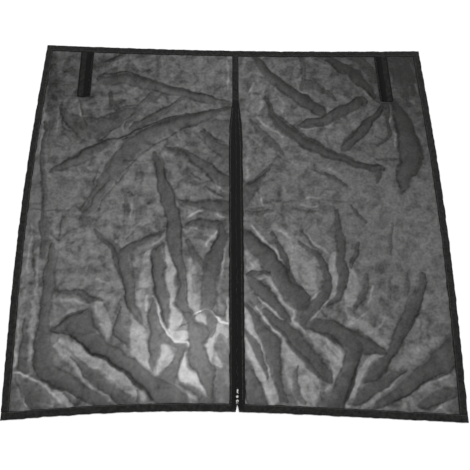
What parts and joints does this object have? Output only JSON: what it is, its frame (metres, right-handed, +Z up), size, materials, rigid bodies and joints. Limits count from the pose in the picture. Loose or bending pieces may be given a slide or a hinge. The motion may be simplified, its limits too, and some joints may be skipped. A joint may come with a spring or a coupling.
{
  "type": "door insect screen",
  "caption": "Sheer black net screen for a doorway: two creased net panels in a folded tape border, a middle zip with slider and pull, and roll-up hook straps, lying flat.",
  "frame": {"origin": "middle of the outline's box, on the floor that the screen lies on", "axes": "+X across the screen to the right, +Y along the zip towards the header, +Z up from the floor"},
  "size_m": [1.336, 1.2726, 0.008],
  "materials": {
    "net": "sheer woven polyester net, satin threads",
    "binding": "woven polyester tape, matt",
    "zip_tape": "fine woven zip tape, matt",
    "teeth": "moulded acetal, satin",
    "zip_metal": "nickel-plated zinc, polished",
    "strap": "hook-and-loop webbing, matt"
  },
  "bodies": {
    "screen": {"net_left": "net", "net_right": "net", "header_binding": "binding", "left_side_binding": "binding", "right_side_binding": "binding", "left_hem_binding": "binding", "right_hem_binding": "binding", "seam_tape": "binding", "left_zip_binding": "binding", "right_zip_binding": "binding", "zip_tape_left": "zip_tape", "zip_tape_right": "zip_tape", "zip_teeth_left": "teeth", "zip_teeth_right": "teeth", "zip_top_stop": "teeth", "zip_bottom_stop_left": "teeth", "zip_bottom_stop_right": "teeth", "strap_left_front": "strap", "strap_left_back": "strap", "strap_right_front": "strap", "strap_right_back": "strap"},
    "slider": {"zip_slider": "zip_metal"},
    "pull": {"zip_pull": "zip_metal"}
  },
  "joints": [
    {"name": "slider_slide", "type": "slide", "parent": "screen", "child": "slider", "axis": [0, 1, 0], "range_m": [-0.02, 0.93], "deforming": ["zip_teeth_left", "zip_teeth_right"]},
    {"name": "pull_hinge", "type": "hinge", "parent": "slider", "child": "pull", "pos_m": [0.0105, -0.54816, 0.0061], "axis": [-1, 0, 0], "range_deg": [0, 170]}
  ]
}
